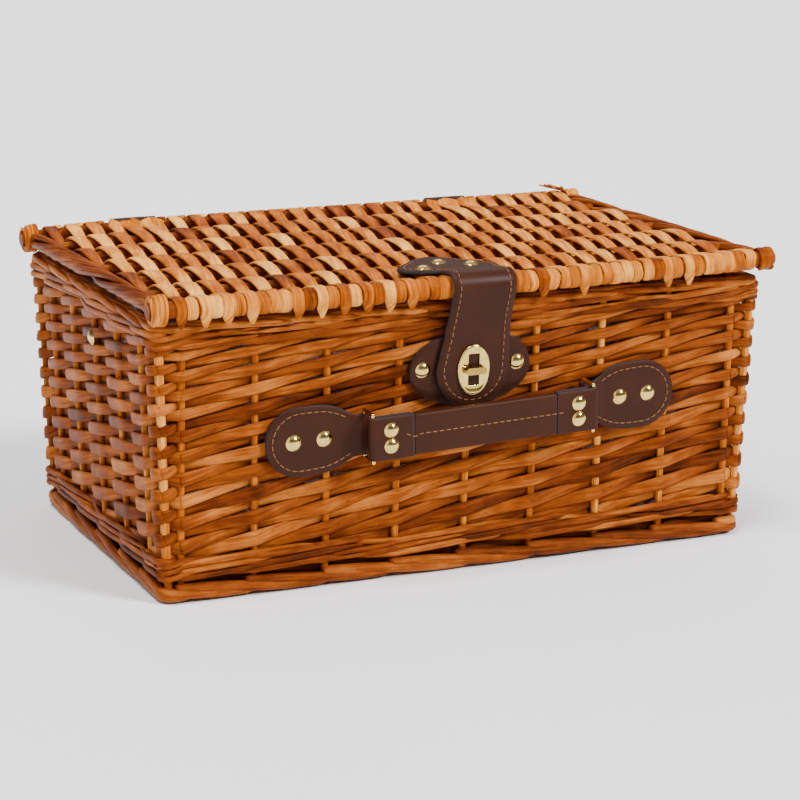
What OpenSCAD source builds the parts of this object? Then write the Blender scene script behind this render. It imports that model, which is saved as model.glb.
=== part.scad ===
// Woven willow picnic hamper with a hinged lid, a leather turn-lock strap and a front handle.
// X runs along the front, Y to the back and Z up. The origin is the centre of the foot, on the floor.

/* [Basket] */
// Length of the foot border along X
foot_w = 383.5; // [360:0.5:400]
// Depth of the foot border along Y
foot_d = 239; // [220:0.5:250]
// Length of the rim along X, where the upper wale starts
rim_w = 394.7; // [385:0.1:402]
// Depth of the rim along Y, where the upper wale starts
rim_d = 252.3; // [245:0.1:254]
// Thickness of a woven wall, stakes and weavers together
wall_t = 8; // [7:0.5:10]
// Spacing of the upright stakes
stake_pitch = 44.4; // [40:0.2:46]
// Diameter of a stake
stake_d = 4.3; // [3:0.1:5]
// Diameter of a corner post
post_d = 5; // [4:0.1:5.5]
// Number of stakes in the front and in the back wall
long_stakes = 9; // [7:2:9]
// Number of stakes in each end wall
short_stakes = 5; // [3:2:5]

/* [Heights] */
// Height of the foot border
foot_h = 10; // [8:0.5:12]
// Bottom of the lower wale
lower_wale_z = 14; // [13:0.5:16]
// Bottom of the plain woven wall
wall_z0 = 26; // [24:0.5:30]
// Top of the plain woven wall
wall_z1 = 151; // [149:0.5:152]
// Bottom of the rim border
rim_z0 = 160; // [159:0.5:160]
// Top of the rim border
rim_z1 = 164.4; // [163:0.1:164.4]
// Thickness of the woven base
base_t = 8; // [7:0.5:9]

/* [Lid] */
// Length of the lid along X
lid_w = 400; // [396:1:410]
// Distance between the front and the back stick of the lid
lid_stick_gap = 257; // [255:0.5:260]
// Height of the middle plane of the lid
lid_z = 174.5; // [174.4:0.1:176]
// Thickness of the woven lid
lid_t = 10; // [9:0.5:11]
// Diameter of the lid's front and back sticks
edge_stick_d = 10; // [9:0.5:11]
// Outer diameter of the willow skein wrapped round those sticks
wrap_d = 13; // [12.5:0.1:13]
// Diameter of the inner sticks
inner_stick_d = 6.5; // [5:0.5:7]
// Number of inner sticks
inner_sticks = 5; // [3:2:7]
// Outer diameter of the corner ties
tie_d = 19; // [17:0.5:19.2]

/* [Hinges] */
// Position of the left hinge loop along X
left_hinge_x = -124; // [-140:1:-100]
// Position of the right hinge loop along X
right_hinge_x = 98; // [90:1:105]
// Width of a hinge loop
hinge_w = 30; // [20:1:32]

/* [Closure] */
// Thickness of the leather
leather_t = 2.4; // [2:0.1:2.6]
// Position of the closure strap along X
lock_x = -1; // [-4:0.5:4]
// Height of the turn lock
lock_z = 125; // [122:0.5:128]
// Width of the strap where it bends over the lid
strap_w = 40; // [36:1:44]
// Width of the strap at its round end
strap_end_w = 46; // [44:1:48]
// Shift of the strap along X from the lock to where it bends over the lid
strap_dx = 3.5; // [0:0.5:4]
// Shift of the yoke's ears along X from the lock
yoke_dx = -6.5; // [-7:0.5:0]
// Length of the backing patch
patch_w = 77; // [70:1:80]
// Height of the backing patch
patch_h = 44; // [40:1:46]

/* [Handle] */
// Position of the middle of the handle along X
handle_x = 3; // [0:0.5:5]
// Height of the middle of the handle
handle_z = 94.5; // [90:0.5:95]
// Slope of the handle and its tabs, right end up
handle_slope = 2.2; // [0:0.1:3]
// Half the distance between the two wire rings
ring_x = 71; // [66:0.5:74]
// Reach of a wire ring, from the tab's bar to the handle's bar
ring_reach = 12.6; // [12:0.1:13]
// Diameter of the ring wire
wire_d = 2.6; // [2:0.1:3]
// Height of the handle strap
handle_h = 24.6; // [22:0.2:26]

/* [Hidden] */
$fn = 48;

willow = [0.78, 0.43, 0.16];
willow_dark = [0.62, 0.31, 0.11];
willow_light = [0.88, 0.56, 0.26];
leather = [0.30, 0.18, 0.13];
brass = [0.85, 0.72, 0.40];
cloth = [0.75, 0.45, 0.45];

fit = 0.05;            // running clearance between a shaft and its hole
seat = 0.2;            // gap between neighbouring pieces of one body
big = 1000;            // larger than the object
foot_step = 2.2;       // how far the foot border stands out past the wall
wale_step = 1.5;       // how far a wale stands out past the wall
border_w = 12;         // width of the foot border
wale_w = 10;           // width of a wale
rim_border_w = 11;     // width of the rim border
flare_z = 152.6;       // height at which the rim's length and depth are given
flare_x = (rim_w - foot_w) / 2 / flare_z;
flare_y = (rim_d - foot_d) / 2 / flare_z;
tilt_x = atan(flare_x);
tilt_y = atan(flare_y);
base_sticks_n = 5;
base_stick_d = 5.5;
base_stick_pitch = 40;
cloth_t = 0.8;
cloth_gap = 1.2;

hinge_y = lid_stick_gap / 2;
stick_pitch = lid_stick_gap / (inner_sticks + 1);
lid_top = lid_z + lid_t / 2;
weave_half_w = 186;
tie_w = 9;
tie_x = 194;
wale_rod_d = 4;
wale_rod_x = 188.4;
wale_rod_pitch = 4.2;

bend_r = wrap_d / 2 + 0.6 + leather_t / 2;   // middle of the strap round the lid's front stick
flap_angle = 135;                            // where the flap meets the yoke, round that stick
flap_leave = 200;                            // where the flap leaves the stick
yoke_start = 120.5;
flap_off = 4.9;                              // middle of the flap, off the wall
flap_top = [
    -hinge_y + bend_r * cos(flap_angle),
    lid_z + bend_r * sin(flap_angle)
];
patch_t = 2.2;
plate_t = 1;
eyelet_t = 1.2;
eyelet_w = 21;
eyelet_h = 31;
eyelet_slot_w = 7;
eyelet_slot_h = 19;
post_r = 3;
spindle_r = 1.5;
knob_l = 13;
knob_w = 4.2;
knob_t = 3.5;
knob_off = 7.8;        // underside of the turn knob's bar, off the wall

layer_t = 1.5;         // one layer of handle leather
core_t = 2.4;
ring_off = 3.4;        // the tab's bar, off the wall
ring_h = 28.4;         // between the middles of the ring's top and bottom wires
fold_r = wire_d / 2 + fit + layer_t;
tab_end_r = 21;
tab_end_x = 111;
loop_end_x = 46;
rivet_r = 4.9;
rivet_h = 2.2;
shank_r = 1.2;
shank_in = 1.5;        // how far a rivet's shank goes into the weave

// Half sizes of the outside of the walls at height z
function out_x(z) = foot_w / 2 - foot_step + flare_x * z;
function out_y(z) = foot_d / 2 - foot_step + flare_y * z;
// Middle of stake number i of n
function spot(i, n, pitch) = (i - (n - 1) / 2) * pitch;
// Points of an oval, a little fuller than an ellipse
function oval(w, h, n = 60) = [
    for (i = [0:n - 1])
        let (c = cos(i * 360 / n), s = sin(i * 360 / n))
            [w / 2 * sign(c) * pow(abs(c), 0.9), h / 2 * sign(s) * pow(abs(s), 0.9)]
];
// Points on an arc about c
function arc(c, r, a0, a1, n = 8) = [
    for (i = [0:n]) let (a = a0 + (a1 - a0) * i / n) [c[0] + r * cos(a), c[1] + r * sin(a)]
];
function unit(v) = v / norm(v);
function left_of(v) = [-v[1], v[0]];
// Direction of the side of a strip at point i of its middle line, scaled for the corner
function side(p, i) =
    let (
        a = left_of(unit(p[max(i, 1)] - p[max(i, 1) - 1])),
        b = left_of(unit(p[min(i + 1, len(p) - 1)] - p[min(i + 1, len(p) - 1) - 1]))
    )
        (a + b) / (1 + a * b);
// Outline of a strip of thickness t along a middle line p
function strip(p, t) = concat(
    [for (i = [0:len(p) - 1]) p[i] + side(p, i) * t / 2],
    [for (i = [len(p) - 1:-1:0]) p[i] - side(p, i) * t / 2]
);

// A drawing in (Y, Z) carried along X, and a drawing in (X, Z) carried along Y
module along_x(l) { rotate([90, 0, 90]) linear_extrude(l, center = true) children(); }
module along_y(l) { rotate([90, 0, 0]) linear_extrude(l, center = true) children(); }
// Frames on the walls: +Z up the slope, -Y out of the wall, origin at the foot
module front_frame() { translate([0, -out_y(0), 0]) rotate([tilt_y, 0, 0]) children(); }
module back_frame() { rotate([0, 0, 180]) front_frame() children(); }
module end_frame(s) { rotate([0, 0, s * 90]) translate([0, -out_x(0), 0]) rotate([tilt_x, 0, 0]) children(); }
module handle_frame() {
    front_frame() translate([handle_x, 0, handle_z]) rotate([0, -handle_slope, 0]) children();
}
module lock_frame() { front_frame() translate([lock_x, 0, lock_z]) children(); }

// A plate in a wall frame: its drawing is in (X, Z), from off to off + t out of the wall
module plate(off, t) { translate([0, -off, 0]) rotate([90, 0, 0]) linear_extrude(t) children(); }
// A pin out of the wall, from off to off + l
module pin(off, l, r) { translate([0, -off, 0]) rotate([90, 0, 0]) cylinder(h = l, r = r); }
// A domed head of a rivet, standing on z = 0
module dome(r, h) {
    ball = (r * r + h * h) / (2 * h);
    intersection() {
        translate([0, 0, h - ball]) sphere(ball, $fn = 64);
        cylinder(h = h, r = r);
    }
}
// A rivet that stands on a leather surface that is off out of the wall, with its shank inwards
module rivet(off, depth) {
    translate([0, -off, 0]) rotate([90, 0, 0]) dome(rivet_r, rivet_h);
    pin(off - depth, depth, shank_r);
}
module rivet_hole(off, depth) { pin(off - depth, depth + 1, shank_r + fit); }

// Four straight bars round a rectangle; the drawing is the bar's section, outside at 0
module ring_of_bars(hx, hy, w) {
    for (a = [0, 180]) rotate([0, 0, a]) translate([0, -hy, 0]) along_x(2 * hx) children();
    for (a = [-90, 90]) {
        rotate([0, 0, a]) translate([0, -hx, 0]) along_x(2 * (hy - w - seat)) children();
    }
}
// Section of rods woven one above the other, rounded on the outside
module wale_section(w, h, rows) {
    d = h / rows;
    for (i = [0:rows - 1]) translate([d / 2, d * (i + 0.5)]) circle(d = d);
    translate([d / 2, 0]) square([w - d / 2, h]);
}
// The space inside the outer wall faces, moved in by inset, between two heights
module inside_walls(inset, z0, z1) {
    intersection() {
        along_y(big) polygon([
            [-out_x(z0) + inset, z0], [out_x(z0) - inset, z0],
            [out_x(z1) - inset, z1], [-out_x(z1) + inset, z1]
        ]);
        along_x(big) polygon([
            [-out_y(z0) + inset, z0], [out_y(z0) - inset, z0],
            [out_y(z1) - inset, z1], [-out_y(z1) + inset, z1]
        ]);
    }
}

module stake(x, d, z0, z1) {
    translate([x, wall_t / 2 * cos(tilt_y), z0]) cylinder(h = z1 - z0, d = d);
}
module stake_row(n, d, z0, z1) { for (i = [0:n - 1]) stake(spot(i, n, stake_pitch), d, z0, z1); }
// A corner post of a front or back wall, leaning with both walls
module post(s, d, z0, z1) {
    translate([s * (out_x(0) - wall_t / 2), wall_t / 2 * cos(tilt_y), 0])
        rotate([0, s * atan(flare_x * cos(tilt_y)), 0])
            translate([0, 0, z0]) cylinder(h = z1 - z0, d = d);
}
module posts(d, z0, z1) { for (s = [-1, 1]) post(s, d, z0, z1); }

// A long wall of weave, from corner to corner, with holes for its stakes
module long_wall() {
    difference() {
        intersection() {
            along_x(big) polygon([
                [-out_y(wall_z0), wall_z0], [-out_y(wall_z0) + wall_t, wall_z0],
                [-out_y(wall_z1) + wall_t, wall_z1], [-out_y(wall_z1), wall_z1]
            ]);
            along_y(big) polygon([
                [-out_x(wall_z0), wall_z0], [out_x(wall_z0), wall_z0],
                [out_x(wall_z1), wall_z1], [-out_x(wall_z1), wall_z1]
            ]);
        }
        front_frame() {
            stake_row(long_stakes, stake_d + 2 * fit, 0, wall_z1 + 5);
            posts(post_d + 2 * fit, 0, wall_z1 + 5);
        }
    }
}
// An end wall of weave, between the long walls
module end_wall(s) {
    inset = wall_t + seat;
    difference() {
        rotate([0, 0, s * 90]) intersection() {
            along_x(big) polygon([
                [-out_x(wall_z0), wall_z0], [-out_x(wall_z0) + wall_t, wall_z0],
                [-out_x(wall_z1) + wall_t, wall_z1], [-out_x(wall_z1), wall_z1]
            ]);
            along_y(big) polygon([
                [-out_y(wall_z0) + inset, wall_z0], [out_y(wall_z0) - inset, wall_z0],
                [out_y(wall_z1) - inset, wall_z1], [-out_y(wall_z1) + inset, wall_z1]
            ]);
        }
        end_frame(s) stake_row(short_stakes, stake_d + 2 * fit, 0, wall_z1 + 5);
        stay_rivet_spots() rivet_hole(0.2, shank_in + 0.2);
    }
}

module foot_border() {
    color(willow) ring_of_bars(foot_w / 2, foot_d / 2, border_w) {
        translate([foot_h / 2, foot_h / 2]) circle(d = foot_h);
        translate([foot_h / 2, 0]) square([border_w - foot_h / 2, foot_h]);
    }
}
module foot_stakes() {
    color(willow_light) {
        front_frame() stake_row(long_stakes, stake_d, foot_h + seat, lower_wale_z - 2 * seat);
        back_frame() stake_row(long_stakes, stake_d, foot_h + seat, lower_wale_z - 2 * seat);
        for (s = [-1, 1]) end_frame(s) stake_row(short_stakes, stake_d, foot_h + seat, lower_wale_z - 2 * seat);
    }
}
lower_mid_z = (lower_wale_z + wall_z0) / 2;
lower_hx = out_x(lower_mid_z) + wale_step;
lower_hy = out_y(lower_mid_z) + wale_step;
module lower_wale() {
    color(willow) translate([0, 0, lower_wale_z]) ring_of_bars(lower_hx, lower_hy, wale_w)
        wale_section(wale_w, wall_z0 - lower_wale_z - fit, 3);
}
base_hx = lower_hx - wale_w - seat;
base_hy = lower_hy - wale_w - seat;
module base_stick(i, d) {
    translate([0, spot(i, base_sticks_n, base_stick_pitch), lower_wale_z + seat + base_t / 2])
        rotate([0, 90, 0]) cylinder(h = 2 * base_hx, d = d, center = true);
}
module base_weave() {
    color(willow_dark) difference() {
        translate([-base_hx, -base_hy, lower_wale_z + seat]) cube([2 * base_hx, 2 * base_hy, base_t]);
        for (i = [0:base_sticks_n - 1]) base_stick(i, base_stick_d + 2 * fit);
    }
}
module base_sticks() { color(willow) for (i = [0:base_sticks_n - 1]) base_stick(i, base_stick_d); }

module front_wall() {
    color(willow) difference() {
        long_wall();
        handle_frame() tab_rivet_spots() rivet_hole(0.2, shank_in + 0.2);
        lock_frame() patch_rivet_spots() rivet_hole(0.2, shank_in + 0.2);
    }
}
module back_wall() {
    color(willow) difference() {
        rotate([0, 0, 180]) long_wall();
        hinge_rivet_spots() rivet_hole(0.3, shank_in + 0.3);
    }
}
module left_wall() { color(willow) end_wall(-1); }
module right_wall() { color(willow) end_wall(1); }
module front_stakes() { color(willow_light) front_frame() wall_stakes(long_stakes); }
module back_stakes() { color(willow_light) back_frame() wall_stakes(long_stakes); }
module left_stakes() { color(willow_light) end_frame(-1) wall_stakes(short_stakes); }
module right_stakes() { color(willow_light) end_frame(1) wall_stakes(short_stakes); }
module wall_stakes(n) { stake_row(n, stake_d, wall_z0 + seat, wall_z1 - seat); }
module corner_posts() {
    color(willow_light) {
        front_frame() posts(post_d, wall_z0 + seat, wall_z1 - seat);
        back_frame() posts(post_d, wall_z0 + seat, wall_z1 - seat);
    }
}

upper_hx = out_x(wall_z1) + wale_step + 0.6;
upper_hy = out_y(wall_z1) + wale_step + 0.6;
module upper_wale() {
    color(willow) translate([0, 0, wall_z1 + fit]) ring_of_bars(upper_hx, upper_hy, wale_w)
        wale_section(wale_w, rim_z0 - wall_z1 - 2 * fit, 2);
}
module rim_border() {
    h = rim_z1 - rim_z0;
    color(willow_light) translate([0, 0, rim_z0]) ring_of_bars(upper_hx + 0.4, upper_hy + 0.4, rim_border_w) {
        translate([h / 2, h / 2]) circle(d = h);
        translate([h / 2, 0]) square([rim_border_w - h, h]);
        translate([rim_border_w - h / 2, h / 2]) circle(d = h);
    }
}
module lining() {
    z0 = lower_wale_z + seat + base_t + seat;
    color(cloth) difference() {
        inside_walls(wall_t + cloth_gap, z0, wall_z1);
        inside_walls(wall_t + cloth_gap + cloth_t, z0 + cloth_t, wall_z1 + 5);
    }
}

hinge_path = [
    [hinge_y + wrap_d / 2 + fit + leather_t / 2, lid_z],
    [hinge_y + 6.9, lid_z - 5.5],
    [hinge_y + 0.6, lid_z - 13],
    [hinge_y - 0.1, wall_z1 + 0.5],
    [out_y(wall_z1 - 5) + 1.6, wall_z1 - 5],
    [out_y(wall_z1 - 26) + 1.5, wall_z1 - 26]
];
module hinge_loop(x) {
    color(leather) difference() {
        translate([x, 0, 0]) along_x(hinge_w) difference() {
            union() {
                translate([hinge_y, lid_z]) circle(r = wrap_d / 2 + fit + leather_t);
                polygon(strip(hinge_path, leather_t));
            }
            translate([hinge_y, lid_z]) circle(r = wrap_d / 2 + fit);
        }
        hinge_rivet_spots() rivet_hole(2.8, 3);
    }
}
module left_hinge_loop() { hinge_loop(left_hinge_x); }
module right_hinge_loop() { hinge_loop(right_hinge_x); }
module hinge_rivet_spots() {
    for (x = [left_hinge_x, right_hinge_x]) {
        for (z = [129, 141]) back_frame() translate([-x, 0, z]) children();
    }
}
module hinge_rivets() { color(brass) hinge_rivet_spots() rivet(2.8, 2.8 + shank_in); }
module stay_rivet_spots() {
    for (s = [-1, 1]) end_frame(s) translate([-s * 5, 0, 135]) children();
}
module stay_rivets() { color(brass) stay_rivet_spots() rivet(fit, shank_in); }

module patch_rivet_spots() { for (x = [-30.5, 30.5]) translate([x, 0, 1]) children(); }
module lock_patch() {
    color(leather) lock_frame() difference() {
        plate(seat, patch_t) polygon(oval(patch_w, patch_h));
        patch_rivet_spots() rivet_hole(seat + patch_t, 4);
        pin(-1, 6, 2.7);
    }
}
module patch_rivets() {
    color(brass) lock_frame() patch_rivet_spots() rivet(seat + patch_t, seat + patch_t + shank_in);
}
module lock_base() {
    color(brass) lock_frame() difference() {
        union() {
            plate(seat + patch_t, plate_t) polygon(oval(16, 25));
            pin(seat + patch_t, knob_off - seat - seat - patch_t, post_r);
        }
        pin(0, 20, spindle_r + fit);
    }
}
module turn_knob() {
    color(brass) lock_frame() {
        plate(knob_off, knob_t) {
            square([knob_l - knob_w, knob_w], center = true);
            for (s = [-1, 1]) translate([s * (knob_l - knob_w) / 2, 0]) circle(d = knob_w);
        }
        pin(seat + 1, knob_off - seat - 1, spindle_r);
        pin(seat + 0.8, 1.2, 2.5);
    }
}

module tab_rivet_spots() {
    for (s = [-1, 1]) for (x = [96, 115]) translate([s * x, 0, 0]) children();
}
module tab(s) {
    neck = handle_h / 2;
    color(leather) handle_frame() difference() {
        union() {
            plate(0.4, 2 * layer_t) scale([s, 1]) {
                translate([tab_end_x, 0]) circle(r = tab_end_r);
                polygon([
                    [ring_x, -neck], [82, -neck - 0.3], [97, -17], [tab_end_x, -tab_end_r],
                    [tab_end_x, tab_end_r], [97, 17], [82, neck + 0.3], [ring_x, neck]
                ]);
            }
            translate([s * ring_x, -ring_off, -neck]) cylinder(h = handle_h, r = fold_r);
        }
        translate([s * ring_x, -ring_off, -neck - 1]) cylinder(h = handle_h + 2, r = wire_d / 2 + fit);
        tab_rivet_spots() rivet_hole(0.4 + 2 * layer_t, 5);
    }
}
module left_handle_tab() { tab(-1); }
module right_handle_tab() { tab(1); }
module tab_rivets() {
    off = 0.4 + 2 * layer_t;
    color(brass) handle_frame() tab_rivet_spots() rivet(off, off + shank_in);
}
// A rectangular wire ring that stands out of the wall
module wire_ring(s) {
    color(brass) handle_frame() translate([s * ring_x, -ring_off, 0]) {
        for (y = [0, -ring_reach]) {
            translate([0, y, -ring_h / 2]) cylinder(h = ring_h, d = wire_d);
            for (z = [-ring_h / 2, ring_h / 2]) translate([0, y, z]) sphere(d = wire_d);
        }
        for (z = [-ring_h / 2, ring_h / 2]) {
            translate([0, 0, z]) rotate([90, 0, 0]) cylinder(h = ring_reach, d = wire_d);
        }
    }
}
module left_ring() { wire_ring(-1); }
module right_ring() { wire_ring(1); }

handle_off = ring_off + ring_reach;
handle_t = 2 * fold_r - fit;
core_x = 64;
module handle_rivet_spots() {
    for (s = [-1, 1]) for (z = [-4.8, 4.8]) translate([s * 60.5, 0, z]) children();
}
module handle_box(x0, x1, t, h) {
    translate([x0, -handle_off - t / 2, -h / 2]) cube([x1 - x0, t, h]);
}
module handle_loop(s) {
    color(leather) handle_frame() difference() {
        union() {
            translate([s * ring_x, -handle_off, -handle_h / 2]) cylinder(h = handle_h, r = fold_r);
            handle_box(min(s * ring_x, s * loop_end_x), max(s * ring_x, s * loop_end_x), handle_t, handle_h);
        }
        translate([s * ring_x, -handle_off, -handle_h]) cylinder(h = 2 * handle_h, r = wire_d / 2 + fit);
        handle_box(-core_x - fit, core_x + fit, core_t + 2 * fit, handle_h - 2);
        handle_rivet_spots() pin(handle_off - 10, 20, shank_r + fit);
    }
}
module left_handle_loop() { handle_loop(-1); }
module right_handle_loop() { handle_loop(1); }
module handle_cover() {
    l = loop_end_x - seat;
    color(leather) handle_frame() difference() {
        handle_box(-l, l, handle_t, handle_h);
        handle_box(-core_x, core_x, core_t + 2 * fit, handle_h - 2);
    }
}
module handle_core() {
    color(cloth) handle_frame() difference() {
        handle_box(-core_x, core_x, core_t, handle_h - 2 - 2 * fit);
        handle_rivet_spots() pin(handle_off - 10, 20, shank_r + fit);
    }
}
module handle_rivets() {
    face = handle_t / 2;
    color(brass) handle_frame() handle_rivet_spots() {
        translate([0, -handle_off - face, 0]) rotate([90, 0, 0]) dome(rivet_r - 0.2, rivet_h);
        pin(handle_off - face - 0.6, 2 * face + 0.6, shank_r);
        pin(handle_off - face - 0.8, 0.8, 3.5);
    }
}

module edge_stick(s, d, l) {
    translate([0, s * hinge_y, lid_z]) rotate([0, 90, 0]) cylinder(h = l, d = d, center = true);
}
module inner_stick(i, d) {
    translate([0, spot(i, inner_sticks, stick_pitch), lid_z])
        rotate([0, 90, 0]) cylinder(h = 2 * weave_half_w, d = d, center = true);
}
module lid_weave() {
    notch = wrap_d / 2 + leather_t + 1;
    color(willow_light) difference() {
        union() {
            difference() {
                translate([-weave_half_w, -hinge_y, lid_z - lid_t / 2])
                    cube([2 * weave_half_w, lid_stick_gap, lid_t]);
                for (x = [left_hinge_x, right_hinge_x]) {
                    translate([x - hinge_w / 2 - 0.5, hinge_y - notch, lid_z - notch])
                        cube([hinge_w + 1, 2 * notch, 2 * notch]);
                }
            }
            for (s = [-1, 1]) edge_stick(s, wrap_d, 2 * weave_half_w);
        }
        for (s = [-1, 1]) edge_stick(s, edge_stick_d + 2 * fit, lid_w);
        for (i = [0:inner_sticks - 1]) inner_stick(i, inner_stick_d + 2 * fit);
        yoke_rivet_spots() translate([0, 0, lid_top - shank_in]) cylinder(h = 5, r = shank_r + fit);
    }
}
module lid_inner_sticks() { color(willow) for (i = [0:inner_sticks - 1]) inner_stick(i, inner_stick_d); }
module lid_front_stick() { color(willow_dark) edge_stick(-1, edge_stick_d, lid_w); }
module lid_back_stick() { color(willow_dark) edge_stick(1, edge_stick_d, lid_w); }
module lid_wale(s) {
    l = lid_stick_gap - tie_d - 2 * seat;
    color(willow) for (i = [0:2]) {
        translate([s * (wale_rod_x + i * wale_rod_pitch), 0, lid_z])
            rotate([90, 0, 0]) cylinder(h = l, d = wale_rod_d, center = true);
    }
}
module lid_left_wale() { lid_wale(-1); }
module lid_right_wale() { lid_wale(1); }
module lid_corner_ties() {
    color(willow_light) for (sx = [-1, 1]) for (sy = [-1, 1]) {
        translate([sx * tie_x, 0, 0]) difference() {
            edge_stick(sy, tie_d, tie_w);
            edge_stick(sy, edge_stick_d + 2 * fit, tie_w + 2);
        }
    }
}

yoke_z = lid_top + 0.3 + leather_t / 2;
yoke_back_y = -74;
yoke_path = concat(
    arc([-hinge_y, lid_z], bend_r, yoke_start, 90, 3),
    [[-hinge_y + 11.5, yoke_z], [yoke_back_y, yoke_z]]
);
ear_y = -104;
ear_x = 21;
ear_r = 10;
// Plan of the yoke: a neck that opens into two round ears, with a round lobe behind them
module yoke_plan() {
    neck_y = -119;
    neck_r = 6;
    half = strap_w / 2;
    difference() {
        union() {
            translate([strap_dx - half, -hinge_y - 10]) square([strap_w, hinge_y + 10 + ear_y]);
            translate([yoke_dx, 0]) {
                translate([-ear_x, neck_y]) square([ear_x, ear_y - neck_y]);
                for (s = [-1, 1]) translate([s * ear_x, ear_y]) circle(r = ear_r);
                polygon([
                    [-ear_x - 9.3, ear_y], [ear_x + 9.3, ear_y],
                    [ear_x - 2, -88], [12, yoke_back_y - 5], [0, yoke_back_y - 2],
                    [-12, yoke_back_y - 5], [-ear_x + 2, -88]
                ]);
            }
        }
        translate([strap_dx - half - neck_r, neck_y]) circle(r = neck_r);
    }
}
module yoke_rivet_spots() {
    for (p = [[-16, -107], [0, -93], [16, -104]]) translate([lock_x + yoke_dx + p[0], p[1], 0]) children();
}
module strap_yoke() {
    color(leather) difference() {
        intersection() {
            translate([lock_x, 0, 0]) along_x(big) polygon(strip(yoke_path, leather_t));
            translate([lock_x, 0, 0]) linear_extrude(big) yoke_plan();
        }
        yoke_rivet_spots() cylinder(h = big, r = shank_r + fit);
    }
}
module yoke_rivets() {
    color(brass) yoke_rivet_spots() {
        translate([0, 0, yoke_z + leather_t / 2]) dome(rivet_r, rivet_h);
        translate([0, 0, lid_top - shank_in])
            cylinder(h = shank_in + 0.3 + leather_t, r = shank_r);
    }
}

// Middle line of the flap: round the stick, straight down, then along the wall
flap_land_z = 150;
function flap_y(z) = -out_y(z) - flap_off / cos(tilt_y);
flap_path = concat(
    arc([-hinge_y, lid_z], bend_r, flap_angle, flap_leave, 8),
    [[flap_y(flap_land_z), flap_land_z], [flap_y(95), 95]]
);
module flap_plan() {
    end_r = strap_end_w / 2;
    left = strap_dx - strap_w / 2;
    right = strap_dx + strap_w / 2;
    polygon([
        [left, lid_z + 20], [left, lid_z - 30], [-end_r, lock_z], [end_r, lock_z],
        [right, lid_z - 30], [right, lid_z + 20]
    ]);
    translate([0, lock_z]) circle(r = end_r);
}
module slot(w, h) {
    square([w, h - w], center = true);
    for (s = [-1, 1]) translate([0, s * (h - w) / 2]) circle(d = w);
}
module strap_flap() {
    color(leather) difference() {
        translate([lock_x, 0, 0]) union() {
            intersection() {
                along_x(big) polygon(strip(flap_path, leather_t));
                along_y(big) flap_plan();
            }
            translate([strap_dx, flap_top[0], flap_top[1]])
                rotate([0, 90, 0]) cylinder(h = strap_w, d = leather_t, center = true);
        }
        lock_frame() plate(0, 20) slot(eyelet_slot_w + 1, eyelet_slot_h + 1);
    }
}
module eyelet_plate() {
    off = flap_off + leather_t / 2 + fit;
    color(brass) lock_frame() difference() {
        plate(off, eyelet_t) polygon(oval(eyelet_w, eyelet_h));
        plate(0, 20) slot(eyelet_slot_w, eyelet_slot_h);
    }
}

foot_border();
foot_stakes();
lower_wale();
base_weave();
base_sticks();
front_wall();
back_wall();
left_wall();
right_wall();
front_stakes();
back_stakes();
left_stakes();
right_stakes();
corner_posts();
upper_wale();
rim_border();
lining();
left_hinge_loop();
right_hinge_loop();
hinge_rivets();
stay_rivets();
lock_patch();
patch_rivets();
lock_base();
turn_knob();
left_handle_tab();
right_handle_tab();
tab_rivets();
left_ring();
right_ring();
handle_cover();
handle_core();
left_handle_loop();
right_handle_loop();
handle_rivets();
lid_weave();
lid_inner_sticks();
lid_front_stick();
lid_back_stick();
lid_left_wale();
lid_right_wale();
lid_corner_ties();
strap_yoke();
yoke_rivets();
strap_flap();
eyelet_plate();
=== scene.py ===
"""Looks of the woven willow hamper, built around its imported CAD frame.

Lengths are in millimetres until a mesh is made, and repeat the values of the part's source.
X runs along the front, Y to the back and Z up.
"""

from math import atan, ceil, cos, pi, radians, sin, sqrt

import bpy
import numpy as np
from mathutils import Matrix, Vector


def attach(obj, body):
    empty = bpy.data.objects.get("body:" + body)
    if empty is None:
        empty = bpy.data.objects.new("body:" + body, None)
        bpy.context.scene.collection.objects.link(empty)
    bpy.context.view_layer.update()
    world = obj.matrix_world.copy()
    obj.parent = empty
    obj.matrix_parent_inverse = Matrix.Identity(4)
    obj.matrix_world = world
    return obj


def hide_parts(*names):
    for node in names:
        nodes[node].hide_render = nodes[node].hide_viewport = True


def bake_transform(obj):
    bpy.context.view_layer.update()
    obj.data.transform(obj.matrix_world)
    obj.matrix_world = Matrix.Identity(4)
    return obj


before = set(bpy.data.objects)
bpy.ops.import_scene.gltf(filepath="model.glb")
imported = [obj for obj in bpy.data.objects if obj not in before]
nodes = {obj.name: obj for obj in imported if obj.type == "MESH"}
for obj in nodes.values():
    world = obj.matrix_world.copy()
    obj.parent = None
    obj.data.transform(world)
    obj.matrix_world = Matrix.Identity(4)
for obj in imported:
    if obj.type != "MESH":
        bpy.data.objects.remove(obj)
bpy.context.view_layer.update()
rng = np.random.default_rng(11)

MM = 0.001
UP = np.array([0.0, 0.0, 1.0])
ALONG_X = np.array([1.0, 0.0, 0.0])
FORWARD = (0.0, -1.0, 0.0)

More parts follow.
